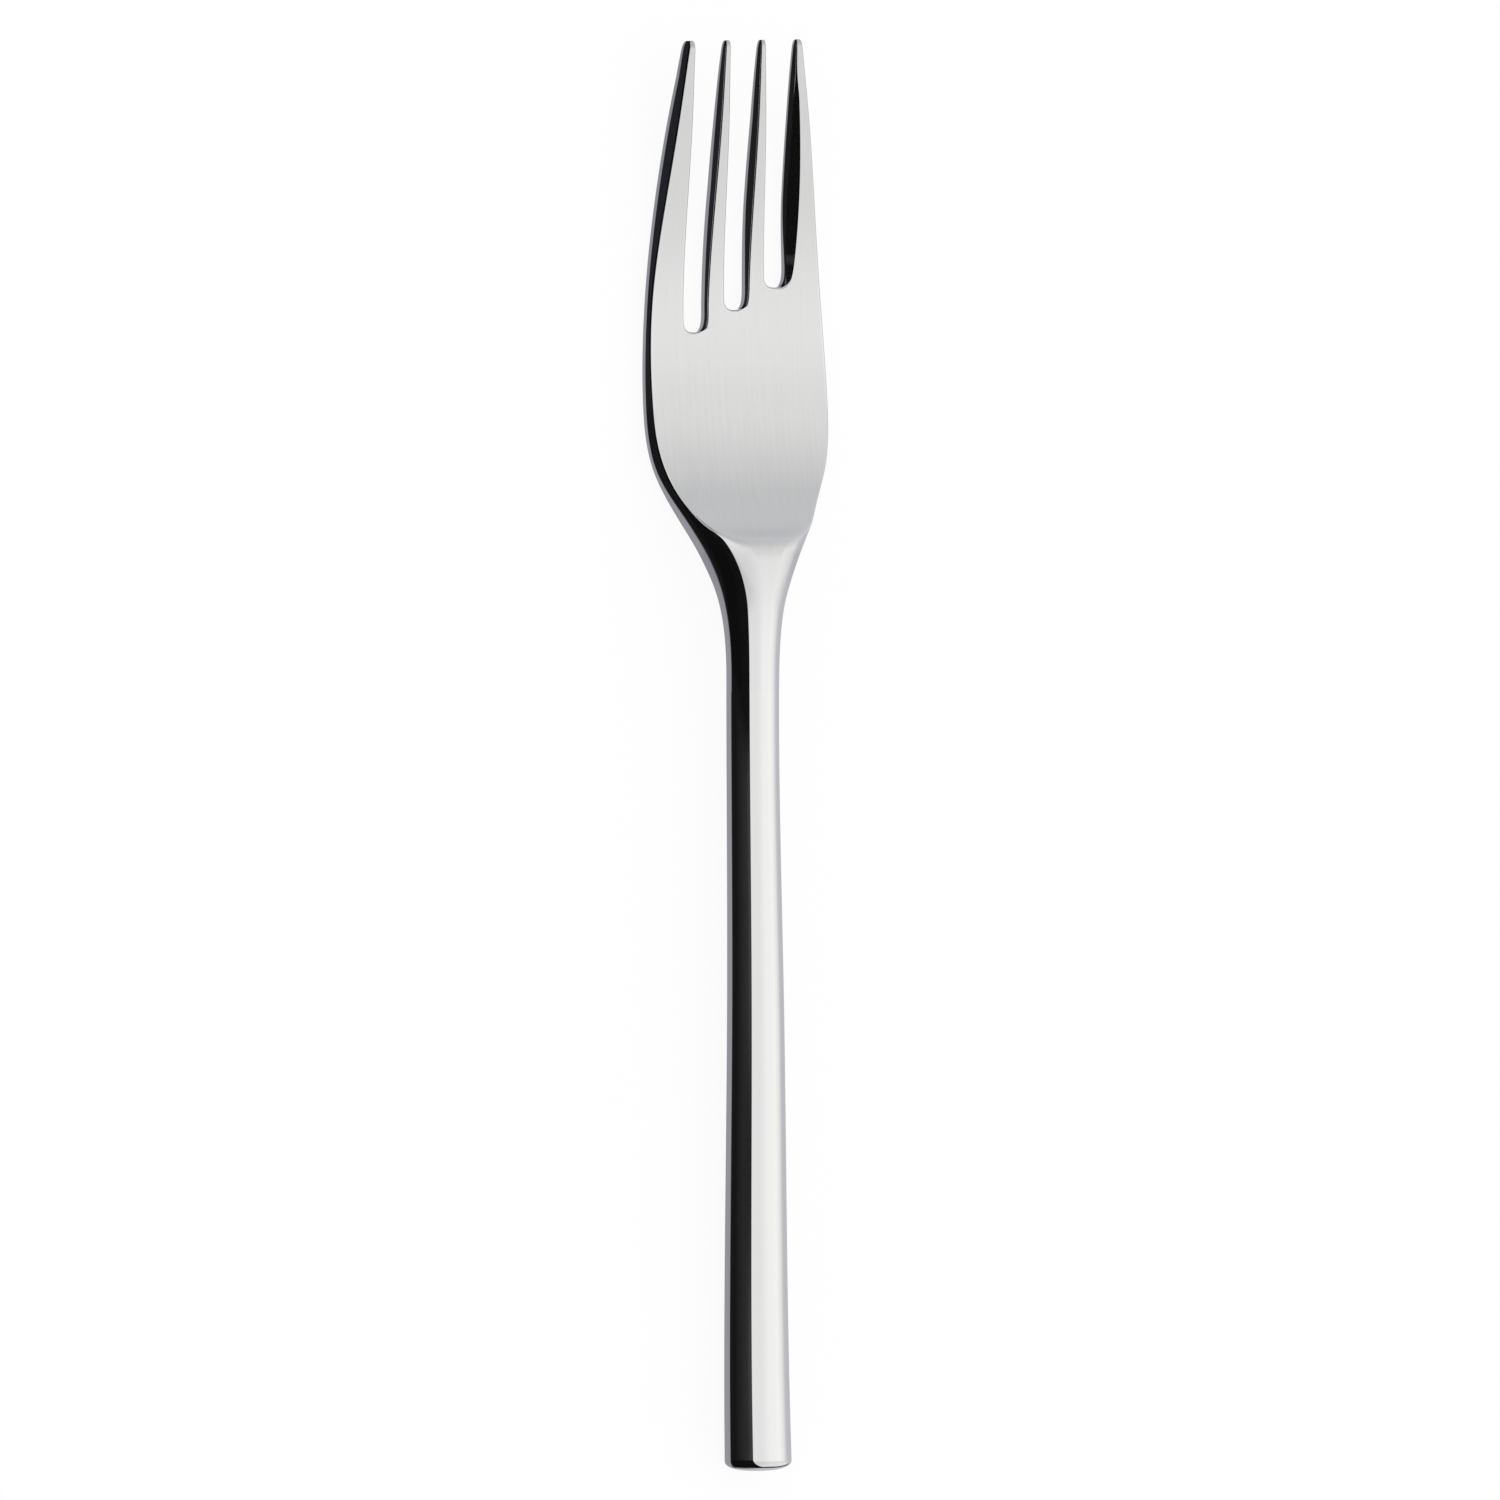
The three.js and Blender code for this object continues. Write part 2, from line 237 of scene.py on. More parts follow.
class ForkSteel(bpy.types.PropertyGroup):
    """Colours and polish of the steel."""

    head_colour: bpy.props.FloatVectorProperty(
        name="Head colour", description="Reflected colour of the head's steel",
        default=(0.85, 0.85, 0.855), subtype="COLOR", min=0, max=1)
    handle_colour: bpy.props.FloatVectorProperty(
        name="Handle colour", description="Reflected colour of the handle's steel",
        default=(0.86, 0.858, 0.855), subtype="COLOR", min=0, max=1)
    polish: bpy.props.FloatProperty(
        name="Polish roughness", description="Roughness of the mirror polish",
        default=0.05, min=0, max=1, subtype="FACTOR")
    satin: bpy.props.FloatProperty(
        name="Satin roughness", description="Roughness that the fine satin adds on the head's front",
        default=0.2, min=0, max=1, subtype="FACTOR")


class ForkStudio(bpy.types.PropertyGroup):
    """Floor and light of the studio."""

    floor_colour: bpy.props.FloatVectorProperty(
        name="Floor colour", description="Colour of the plain floor",
        default=(0.99, 0.99, 0.99), subtype="COLOR", min=0, max=1)
    floor_size: bpy.props.FloatProperty(
        name="Floor size", description="Length of each side of the floor",
        default=3.0, min=0.1, unit="LENGTH")
    shadow: bpy.props.FloatProperty(
        name="Shadow", description="How much of the floor's shading the camera sees",
        default=0.08, min=0, max=1, subtype="FACTOR")
    strength: bpy.props.FloatProperty(
        name="Strength", description="Strength of the studio's light",
        default=1.0, min=0)


# Lines of the fork

def smooth_line(places, values, level_ends=False):
    """A cubic spline, straight past its last point, or level at both ends and past them."""
    places = np.array(places, float)
    values = np.array(values, float)
    step = np.diff(places)
    slope = np.diff(values) / step
    inner = np.arange(1, len(places) - 1)
    matrix = np.eye(len(places))
    matrix[inner, inner - 1] = step[:-1]
    matrix[inner, inner] = 2 * (step[:-1] + step[1:])
    matrix[inner, inner + 1] = step[1:]
    pull = np.zeros(len(places))
    pull[inner] = 6 * np.diff(slope)
    if level_ends:
        matrix[0, :2] = 2 * step[0], step[0]
        matrix[-1, -2:] = step[-1], 2 * step[-1]
        pull[0] = 6 * slope[0]
        pull[-1] = -6 * slope[-1]
    bend = np.linalg.solve(matrix, pull)
    end_slope = 0 if level_ends else slope[-1] + step[-1] * bend[-2] / 6

    def line(place):
        place = np.asarray(place, float)
        inside = np.clip(place, places[0], places[-1])
        i = np.clip(np.searchsorted(places, inside) - 1, 0, len(step) - 1)
        left = places[i + 1] - inside
        right = inside - places[i]
        straight = values[i] + slope[i] * right
        cubic = (bend[i] * left ** 3 + bend[i + 1] * right ** 3) / (6 * step[i])
        level = step[i] * (bend[i] * left + bend[i + 1] * right) / 6
        return straight + cubic - level + np.maximum(place - places[-1], 0) * end_slope

    return line


half_width = smooth_line(
    (0, TINE_MIDDLE, SLOT_ROOTS, WIDEST, SHOULDER, RAMP, CREST, NECK, WAIST, GRIP, BUTT),
    np.array((TIPS_WIDTH, TINE_MIDDLE_WIDTH, SLOT_ROOTS_WIDTH, HEAD_WIDTH, SHOULDER_WIDTH, RAMP_WIDTH,
              CREST_WIDTH, NECK_WIDTH, WAIST_WIDTH, GRIP_WIDTH, BUTT_WIDTH)) / 2)
plate_thickness = smooth_line(
    (0, TINE_FRONT, TINE_MIDDLE, SLOT_ROOTS, WIDEST, SHOULDER, RAMP, CREST),
    (TIPS_THICKNESS, TINE_FRONT_THICKNESS, TINE_MIDDLE_THICKNESS, SLOT_ROOTS_THICKNESS, BOWL_THICKNESS,
     SHOULDER_THICKNESS, RAMP_THICKNESS, RAMP_END_THICKNESS))
bar_thickness = smooth_line(
    (SHOULDER, CREST, NECK, WAIST, BUTT),
    (BAR_THICKNESS, CREST_THICKNESS, NECK_THICKNESS, WAIST_THICKNESS, BUTT_THICKNESS))
arch_rise = smooth_line(
    (BOWL_REST, RAMP, NECK, WAIST, GRIP, BUTT_REST),
    (0, RAMP_RISE, NECK_RISE, WAIST_RISE, GRIP_RISE, 0), level_ends=True)


def ease(place, start, length):
    """Rises smoothly from 0 at the start to 1 after the length: 3 s squared less 2 s cubed."""
    share = np.clip((place - start) / length, 0, 1)
    return share * share * (3 - 2 * share)


def end_left(place, length):
    """How far a round end has still to grow: 1 at the tips, 0 at the length, on a quarter circle."""
    left = np.clip(1 - place / length, 0, 1)
    return 1 - np.sqrt(1 - left * left)


def thickness(place):
    """The thinner of plate and bar, with a soft crease where one takes over from the other."""
    plate = plate_thickness(place)
    bar = bar_thickness(place)
    return (plate + bar - np.hypot(plate - bar, CREASE_SOFTNESS)) / 2


def back_height(place):
    """A power curve up to the tips, level under the bowl and the butt, and the arch between them."""
    tines = TIPS_RISE * np.clip((SLOT_ROOTS - place) / SLOT_ROOTS, 0, 1) ** TINE_CURVE
    return tines + arch_rise(place)


def heights(place, relief=0.0):
    """Heights of front and back, less the relief behind. At the tips both draw in on a quarter ellipse."""
    back = back_height(place)
    front = back + thickness(place)
    back = back + relief * (1 - ease(place, RELIEF_START, RELIEF_LENGTH))
    draw = (1 - TIP_FLAT_SHARE) * end_left(place, TIP_ROUNDING) * (front - back) / 2
    return front - draw, back + draw


def corner_curve(steps, exponent=CORNER_EXPONENT):
    """A quarter superellipse from the wall, (1, 0), round to the face, (0, 1)."""
    angle = np.linspace(0, np.pi / 2, steps + 1)
    power = 2 / np.asarray(exponent, float)
    return np.maximum(np.cos(angle), 0) ** power, np.sin(angle) ** power


def edge_curve(weight):
    """A rational quadratic curve over an edge: shares of the way in from the wall, and of the way down."""
    way = np.linspace(0, 1, EDGE_STEPS + 1)
    in_part = (1 - way) ** 2
    down_part = way ** 2
    whole = in_part + 2 * np.asarray(weight) * way * (1 - way) + down_part
    return in_part / whole, down_part / whole


def wall_levels():
    """Levels of a wall between its edges, from near 1 at the front to near 0 at the back, as sines."""
    return np.sin(np.linspace(np.pi / 2, 0, WALL_STEPS + 1)[1:-1])


class Section:
    """Sizes of cross sections at an array of places, as columns.

    The bar's rounded flanks rise to its top. Where the ramp is lower than the top, it cuts the bar off.
    """

    def __init__(self, place, edges):
        self.place = place[:, None]
        self.half = half_width(self.place)
        self.front, self.back = heights(self.place)
        self.edge = edges.front / MM
        past_crest = ease(self.place, CREST, NECK - CREST)
        self.exponent = CREST_EXPONENT + (CORNER_EXPONENT - CREST_EXPONENT) * past_crest
        self.top = self.back + bar_thickness(self.place)
        self.round_corners()
        edge = edges.outline / MM
        rounded = ease(self.place, CREST, BACK_ROUNDING_LENGTH)
        self.back_across = edge + (self.across - edge) * rounded
        deepened = ease(self.place, SHOULDER - BACK_DEEPENING_LEAD, BACK_DEEPENING_LENGTH)
        deepened = rounded + (deepened - rounded) * BACK_DEEPENING_SHARE
        self.back_deep = BACK_EDGE_DEPTH * edge + (self.deep - BACK_EDGE_DEPTH * edge) * deepened
        self.back_exponent = BACK_EDGE_EXPONENT + (CORNER_EXPONENT - BACK_EDGE_EXPONENT) * rounded

    def round_corners(self):
        """The bar's own corners, which take up most of its width and nearly all its thickness."""
        self.across = CORNER_SHARE * self.half
        self.deep = CORNER_DEPTH_SHARE * (self.top - self.back) / 2
        self.back_across = self.across
        self.back_deep = self.deep

    def inset(self, amount):
        """The bar's section drawn in by the same amount all round, with full corners."""
        amount = np.reshape(amount, (-1, 1))
        self.half = self.half - amount
        self.front = self.front - amount
        self.top = self.top - amount
        self.back = self.back + amount
        self.round_corners()
        return self

    def shrink(self, share):
        """The section drawn in towards its middle by a share of each size."""
        share = share[:, None]
        middle = (self.front + self.back) / 2
        for name in ("front", "back", "top"):
            setattr(self, name, middle + (getattr(self, name) - middle) * share)
        for name in ("half", "across", "deep", "back_across", "back_deep"):
            setattr(self, name, getattr(self, name) * share)
        return self

    def flank(self, height):
        """How far a superelliptic flank stands in from the side at a height, and the cosine of its lean."""
        rise = np.clip((height - self.top + self.deep) / self.deep, 0, 1)
        out = (1 - rise ** self.exponent) ** (1 / self.exponent)
        sideways = out ** (self.exponent - 1) / self.across
        upward = rise ** (self.exponent - 1) / self.deep
        return self.across * (1 - out), sideways / np.hypot(sideways, upward)

    def crease(self, bar):
        """Heights of the bar lowered to a softened minimum with the ramp, where the ramp's end meets it."""
        ramp = self.back + plate_thickness(self.place)
        softness = CREASE_SOFTNESS * ease(self.place, RAMP - CREASE_LEAD, 2 * CREASE_LEAD)
        return (ramp + bar - np.hypot(ramp - bar, softness)) / 2

    def face(self, x):
        """Heights of the front face: the bar's round top, creased where the ramp is lower."""
        out = np.clip((np.abs(x) - self.half) / self.across + 1, 0, 1)
        bar = self.top - self.deep * (1 - (1 - out ** self.exponent) ** (1 / self.exponent))
        return np.minimum(self.front, self.crease(bar))

    def right_wall(self, steps):
        """Widths and heights from the front face over its edge, down the wall and round to the back."""
        corner_in, upright = self.flank(self.front)
        edge = self.edge * np.maximum(upright, LEAST_EDGE_SHARE)
        start = self.front - edge * upright
        start_in, _ = self.flank(start)
        in_share, down_share = edge_curve(EDGE_WEIGHT)
        edge_in = corner_in + edge * in_share + (start_in - corner_in) * down_share
        edge_z = self.front - (self.front - start) * down_share
        out, up = corner_curve(steps, self.back_exponent)
        low = self.back + self.back_deep
        wall_z = low + (start - low) * wall_levels()
        wall_in, _ = self.flank(wall_z)
        inset = np.concatenate((edge_in, wall_in, self.back_across * (1 - out)), axis=1)
        flank_z = self.crease(np.concatenate((edge_z, wall_z), axis=1))
        return self.half - inset, np.concatenate((flank_z, low - self.back_deep * up), axis=1)


# Building meshes from patches

def in_metres(x, place, z):
    """Points in metres from widths, places and heights in millimetres, stacked on a last axis."""
    x, place, z = np.broadcast_arrays(x, place, z)
    return np.stack((x, TIPS_Y - place, z), axis=-1) * MM


def grid_patch(points, turned, satin=0.0):
    """A grid of points as quads. Turned quads face away from columns crossed with rows."""
    rows, columns = points.shape[:2]
    index = np.arange(rows * columns).reshape(rows, columns)
    corners = (index[:-1, :-1], index[:-1, 1:], index[1:, 1:], index[1:, :-1])
    quads = np.stack(corners, axis=-1).reshape(-1, 4)
    if turned:
        quads = quads[:, ::-1]
    return points.reshape(-1, 3), quads, np.broadcast_to(satin, (rows, columns)).reshape(-1)


def ring_patch(points, turned, satin=0.0):
    """Rows of closed rings as quads: a grid whose last column meets its first."""
    closed = np.concatenate((points, points[:, :1]), axis=1)
    satin = np.broadcast_to(satin, points.shape[:2])
    return grid_patch(closed, turned, np.concatenate((satin, satin[:, :1]), axis=1))


def cap_patch(points):
    """One flat face over a ring of points."""
    return points, np.arange(len(points))[None, :], np.zeros(len(points))


def build_mesh(name, patches, material):
    """Welds patches whose edges lie on each other into one closed smooth mesh, and makes its object."""
    points = np.concatenate([patch[0] for patch in patches])
    satin = np.concatenate([patch[2] for patch in patches])
    keys = np.round(points / (WELD * MM)).astype(np.int64)
    _, first, joined = np.unique(keys, axis=0, return_index=True, return_inverse=True)
    joined = joined.reshape(-1)
    starts = np.cumsum([0] + [len(patch[0]) for patch in patches[:-1]])
    faces = [joined[patch[1] + start] for patch, start in zip(patches, starts)]
    edges = np.concatenate([np.stack((f, np.roll(f, -1, axis=1)), axis=-1).reshape(-1, 2) for f in faces])
    forward = np.unique(edges, axis=0)
    backward = np.unique(edges[:, ::-1], axis=0)
    if len(forward) != len(edges) or not np.array_equal(forward, backward):
        raise RuntimeError(f"{name} isn't one closed skin with its faces pointing out")
    mesh = bpy.data.meshes.new(name)
    mesh.from_pydata(points[first].tolist(), [], [face for group in faces for face in group.tolist()])
    attribute = mesh.attributes.new("satin", "FLOAT", "POINT")
    attribute.data.foreach_set("value", satin[first].astype(np.float32))
    mesh.shade_smooth()
    mesh.set_sharp_from_angle(angle=SHARP_ANGLE)
    mesh.materials.append(material)
    piece = bpy.data.objects.new(name, mesh)
    bpy.context.scene.collection.objects.link(piece)
    return piece


# The head

class Side:
    """One long side of a tine in plan, from its tip back: points, inward normals and corner sizes."""

    def __init__(self, x, place, normal_x, normal_place):
        self.x = x
        self.place = place
        self.normal_x = normal_x
        self.normal_place = normal_place

    def set_corners(self, front, back, relief, scoop):
        """Front corners widen by the scoop, which is cut deeper and straighter than the plain rounding."""
        self.front = front + scoop
        self.front_deep = front + SCOOP_DEPTH_SHARE * scoop
        self.weight = EDGE_WEIGHT * np.maximum(1 - scoop / (SCOOP_STRAIGHT * self.front), 0)
        self.relief = relief
        self.back = back
        room = np.subtract(*heights(self.place, relief)) - self.front_deep
        self.back_deep = np.minimum(BACK_EDGE_DEPTH * back, BACK_DEPTH_LIMIT * room)

    def wall(self):
        """The wall: edge curves carried along the side at front and back, pushed in along its normals."""
        in_share, down_share = edge_curve(self.weight[:, None])
        out, up = corner_curve(BACK_STEPS, BACK_EDGE_EXPONENT)
        flat = np.zeros((len(self.x), WALL_STEPS - 1))
        edge_in = self.front[:, None] * in_share
        inset = np.concatenate((edge_in, flat, self.back[:, None] * (1 - out)), axis=1)
        x = self.x[:, None] + self.normal_x[:, None] * inset
        place = self.place[:, None] + self.normal_place[:, None] * inset
        front, back = heights(place, self.relief)
        edge_z = front[:, :EDGE_STEPS + 1] - self.front_deep[:, None] * down_share
        back_z = back[:, -BACK_STEPS - 1:] + self.back_deep[:, None] * (1 - up)
        wall_z = back_z[:, :1] + (edge_z[:, -1:] - back_z[:, :1]) * wall_levels()
        return in_metres(x, place, np.concatenate((edge_z, wall_z, back_z), axis=1))

    def face_edge(self, size):
        """Plan points of the side pushed in by a corner size, where the flat face begins."""
        return self.x + self.normal_x * size, self.place + self.normal_place * size


def slot_edges(place):
    """Left and right edges of the slots: straight lines that leave the tines their widths, equal slots."""
    share = np.asarray(place, float) / DEEPEST_SLOT
    span = 2 * (half_width(0) + (half_width(DEEPEST_SLOT) - half_width(0)) * share)
    outer = OUTER_TINE_TIP_WIDTH + (OUTER_TINE_ROOT_WIDTH - OUTER_TINE_TIP_WIDTH) * share
    inner = INNER_TINE_TIP_WIDTH + (INNER_TINE_ROOT_WIDTH - INNER_TINE_TIP_WIDTH) * share
    slot = (span - 2 * outer - (SLOTS - 1) * inner) / SLOTS
    left = [outer - span / 2 + number * (slot + inner) for number in range(SLOTS)]
    return [(edge, edge + slot) for edge in left]


def slot_depth(number):
    return DEEPEST_SLOT - number * SLOT_STEP


def tip_corner(tine):
    """Rounding of a tine's tip corners in plan."""
    outer = tine in (0, SLOTS)
    return TIP_CORNER_SHARE * (OUTER_TINE_TIP_WIDTH if outer else INNER_TINE_TIP_WIDTH)


def tip_places():
    """Rows round a tip, closest together at the very end."""
    return TIP_ROUNDING * (1 - np.cos(np.linspace(0, np.pi / 2, TIP_ROWS + 1)))


def slot_side(number, hand):
    """A slot's left (hand -1) or right (hand 1) side: straight, then a quarter superellipse to the root."""
    on_right = (hand + 1) // 2
    exponent = RIGHT_ROOT_EXPONENT if on_right else LEFT_ROOT_EXPONENT
    depth = slot_depth(number)
    left, right = slot_edges(depth)[number]
    root_length = (RIGHT_ROOT_LENGTH if on_right else LEFT_ROOT_LENGTH) * (right - left) / 2
    start = depth - root_length
    place = np.concatenate((tip_places(), np.linspace(TIP_ROUNDING, start, SIDE_ROWS + 1)[1:]))
    edge = slot_edges(place)[number][on_right]
    slope = (edge[-1] - edge[0]) / (place[-1] - place[0])
    corner = tip_corner(number + on_right)
    edge = edge + hand * corner * end_left(place, corner)
    out, on = (curve[1:] for curve in corner_curve(ROOT_ROWS, exponent))
    middle = (left + right) / 2
    root_half = abs(edge[-1] - middle)
    x = np.concatenate((edge, middle + hand * root_half * out))
    power = exponent - 1
    normal_x = np.concatenate((np.full(len(place), float(hand)), hand * out ** power / root_half))
    normal_place = np.concatenate((np.full(len(place), -hand * slope), on ** power / root_length))
    length = np.hypot(normal_x, normal_place)
    place = np.concatenate((place, start + root_length * on))
    return Side(x, place, normal_x / length, normal_place / length)


def outline_side(hand, rows):
    """The head's left (hand -1) or right (hand 1) outline at given rows."""
    corner = tip_corner(0)
    x = hand * (half_width(rows) - corner * end_left(rows, corner))
    return Side(x, rows, np.full(len(rows), -float(hand)), np.zeros(len(rows)))


def scoop_width(place, greatest):
    """A teardrop: a power of the way along times a power of the way left, 1 at its widest."""
    share = np.clip((place - SCOOP_START) / (slot_depth(SLOTS - 1) - SCOOP_START), 0, 1)
    widest = SCOOP_RISE / (SCOOP_RISE + SCOOP_FALL)
    return greatest * (share / widest) ** SCOOP_RISE * ((1 - share) / (1 - widest)) ** SCOOP_FALL


def tine_sides(edges):
    """The left and right side of each tine, with corners that its width leaves room for."""
    tines = []
    for tine in range(SLOTS + 1):
        near = slot_side(max(tine - 1, 0), 1 if tine > 0 else -1)
        bowl = np.linspace(near.place[-1], BAND_END, BOWL_ROWS + 1)[1:]
        rows = np.concatenate((near.place, bowl))
        left = slot_side(tine - 1, 1) if tine > 0 else outline_side(-1, rows)
        right = slot_side(tine, -1) if tine < SLOTS else outline_side(1, rows)
        count = min(len(left.x), len(right.x))
        width = right.x[:count] - left.x[:count]
        for side in (left, right):
            room = np.concatenate((width, np.full(len(side.x) - count, width[-1])))
            sharper = SHARPER_STEP * max(tine - 1, 0) * (1 - ease(side.place, SHARPER_END, SHARPER_FADE))
            # Only an outline runs on past the slots' roots
            back = edges.outline if len(side.x) > count else edges.slot * (1 - sharper)
            relief = TINE_RELIEF if tine > 0 else 0.0
            scoop = np.zeros(len(side.x))
            if tine == SLOTS and side is left:
                scoop = scoop_width(side.place, edges.scoop / MM)
            side.set_corners(np.minimum(edges.front / MM, FRONT_EDGE_LIMIT * room),
                             np.minimum(back / MM, BACK_EDGE_LIMIT * room), relief, scoop)
        tines.append((left, right))
    return tines


def face_edges(side, size, number):
    """A side's face edge, carried on behind a slot's root along its middle to the end of the bands."""
    x, place = side.face_edge(size)
    if place[-1] >= BAND_END:
        return x, place
    bowl = np.linspace(place[-1], BAND_END, BOWL_ROWS + 1)[1:]
    left, right = slot_edges(bowl)[number]
    start = x[-1] - np.mean(slot_edges(place[-1])[number])
    middle = (left + right) / 2 + start
    return np.concatenate((x, middle)), np.concatenate((place, bowl))


def band(sides, tine, at_front):
    """A tine's front or back face, ruled across from its left face edge to its right one."""
    left, right = sides
    left_x, left_place = face_edges(left, left.front if at_front else left.back, tine - 1)
    right_x, right_place = face_edges(right, right.front if at_front else right.back, tine)
    across = (1 - np.cos(np.linspace(0, np.pi, BAND_COLUMNS + 1))) / 2
    x = left_x[:, None] * (1 - across) + right_x[:, None] * across
    place = left_place[:, None] * (1 - across) + right_place[:, None] * across
    z = heights(place, left.relief)[0 if at_front else 1]
    return in_metres(x, place, z)


def section_rings(section, front_share, back_share, steps):
    """Rings of sections: over the front to the right, down the right wall, under the back, up the left."""
    wall_x, wall_z = section.right_wall(steps)
    front_x = front_share * wall_x[:, :1]
    back_x = back_share * wall_x[:, -1:]
    x = np.concatenate((front_x, wall_x[:, 1:], back_x[:, -2::-1], -wall_x[:, -2:0:-1]), axis=1)
    z = np.concatenate((section.face(front_x), wall_z[:, 1:], section.back + 0 * back_x[:, 1:],
                        wall_z[:, -2:0:-1]), axis=1)
    return in_metres(x, section.place, z)


def head_places():
    """Rows from the end of the tines' bands to the waist, closest together at the crease."""
    shoulder = np.linspace(BAND_END, SHOULDER, SHOULDER_ROWS + 1)
    crease = np.linspace(SHOULDER, NECK, CREASE_ROWS + 1)[1:]
    return np.concatenate((shoulder, crease, np.linspace(NECK, WAIST, NECK_ROWS + 1)[1:]))


def head_patches(edges):
    """The head: tine faces and walls to the end of the bands, then rings of sections to the tang's end."""
    walls, faces, caps = [], [], []
    front_row, back_row = [], []
    for tine, sides in enumerate(tine_sides(edges)):
        left_wall, right_wall = (side.wall() for side in sides)
        front = band(sides, tine, True)
        back = band(sides, tine, False)
        walls += [grid_patch(left_wall, False), grid_patch(right_wall, True)]
        faces += [grid_patch(front, True, 1.0), grid_patch(back, False)]
        tip = (front[0], right_wall[0, 1:], back[0, -2::-1], left_wall[0, -2:0:-1])
        caps.append(cap_patch(np.concatenate(tip)))
        start = 0 if tine == 0 else 1
        front_row.append(front[-1, start:, 0])
        back_row.append(back[-1, start:, 0])
    front_row = np.concatenate(front_row)
    back_row = np.concatenate(back_row)
    body = Section(head_places(), edges)
    tang_places = np.linspace(WAIST, WAIST + TANG_LENGTH, TANG_ROWS + 1)
    taper = SHELL_WALL + TANG_CLEARANCE + TANG_TAPER * (tang_places - WAIST) / TANG_LENGTH
    shares = (front_row / front_row[-1], back_row / back_row[-1])
    rings = [section_rings(part, *shares, BACK_STEPS)
             for part in (body, Section(tang_places, edges).inset(taper))]
    satin = np.zeros(rings[0].shape[:2])
    satin[:, :len(front_row)] = 1 - ease(body.place, CREST - SATIN_LEAD, SATIN_FADE)
    rings_satin = np.concatenate((satin, np.zeros(rings[1].shape[:2])))
    loft = ring_patch(np.concatenate(rings), True, rings_satin)
    return walls + faces + caps + [loft, cap_patch(rings[1][-1, ::-1])]


# Handle

def half_outline(section, upward):
    """Half a section from its seam on one side over the front, or under the back, to the other seam."""
    out, up = corner_curve(BAR_CORNER_STEPS)
    seam = (section.front + section.back) / 2
    deep = section.deep * (1 - up)
    x = section.half - section.across * (1 - out)
    z = section.front - deep if upward else section.back + deep
    x = np.concatenate((section.half, x, -x[:, ::-1], -section.half), axis=1)
    z = np.concatenate((seam, z, z[:, ::-1], seam), axis=1)
    return in_metres(x, section.place, z)


def shell_patches(upward, edges):
    """A half shell along the handle: its outer half outline, the inner one back, and both ends closed."""
    place = np.linspace(WAIST, CAP, HANDLE_ROWS + 1)
    outer = half_outline(Section(place, edges), upward)
    inner = half_outline(Section(place, edges).inset(SHELL_WALL), upward)
    rings = np.concatenate((outer, inner[:, ::-1]), axis=1)
    ends = []
    for row, at_waist in ((0, True), (-1, False)):
        strip = np.stack((outer[row], inner[row]))
        ends.append(grid_patch(strip, at_waist == upward))
    return [ring_patch(rings, not upward)] + ends


def cap_patches(edges):
    """The cap: a spigot, a step out to the rim, and a superelliptic dome closed by a small flat face."""
    flat = np.linspace(-1, 1, 3)
    spigot = Section(np.array((CAP - SPIGOT_LENGTH, CAP)), edges).inset(SHELL_WALL + SPIGOT_CLEARANCE)
    rim = Section(np.array((CAP,)), edges)
    turn = np.linspace(0, np.pi / 2, DOME_ROWS + 1)
    power = 2 / CORNER_EXPONENT
    dome = Section(BUTT - DOME_DEPTH * (1 - np.sin(turn) ** power), edges)
    dome.shrink(np.maximum(np.cos(turn), DOME_FLAT_SHARE) ** power)
    parts = (spigot, rim, dome)
    rings = np.concatenate([section_rings(part, flat, flat, BAR_CORNER_STEPS) for part in parts])
    return [ring_patch(rings, True), cap_patch(rings[0]), cap_patch(rings[-1, ::-1])]


# Materials

# Streaks of the satin's brushing and of the polish's wear, in cycles a metre across, along and up
BRUSHING_SCALE = (2400, 40, 900)
WEAR_SCALE = (900, 120, 900)
STREAK_DETAIL = 4
# Roughness of satin and polish as shares of their settings: the least, and how much the streaks add
SATIN_ROUGHNESS = (0.85, 0.3)
POLISH_ROUGHNESS = (0.8, 0.4)
# Shares of the steel's colour in the dark and bright streaks of the satin, and the noise levels of the two
SATIN_TONES = (0.925, 0.955)
SATIN_LEVELS = (0.3, 0.7)
# Strength of the brushing as a bump, and its depth in metres
BRUSHING_STRENGTH = 0.02
BRUSHING_DEPTH = 0.02 * MM
# Painted shade: shares of the steel's colour by place, darker along the tines and just behind the crease
PAINTED_SHADE_BY_PLACE = (
    (8, 0.845),
    (14, 0.875),
    (20, 0.89),
    (26.5, 0.925),
    (33, 0.97),
    (38, 1.0),
    (63.7, 1.0),
    (64.8, 0.885),
    (66, 0.88),
    (68, 0.92),
    (71, 0.98),
    (75, 1.0),
)


def add_node(tree, kind, **values):
    """A node with its settings, and its inputs by name."""
    node = tree.nodes.new(kind)
    for name, value in values.pop("inputs", {}).items():
        node.inputs[name].default_value = value
    for name, value in values.items():
        setattr(node, name, value)
    return node


def new_material(name):
    material = bpy.data.materials.new(name)
    material.use_nodes = True
    material.node_tree.nodes.clear()
    return material, material.node_tree


def math_node(tree, operation, first, second):
    """A Math node whose inputs are sockets or numbers."""
    node = add_node(tree, "ShaderNodeMath", operation=operation)
    for socket, value in zip(node.inputs, (first, second)):
        if isinstance(value, (int, float)):
            socket.default_value = value
        else:
            tree.links.new(value, socket)
    return node.outputs[0]


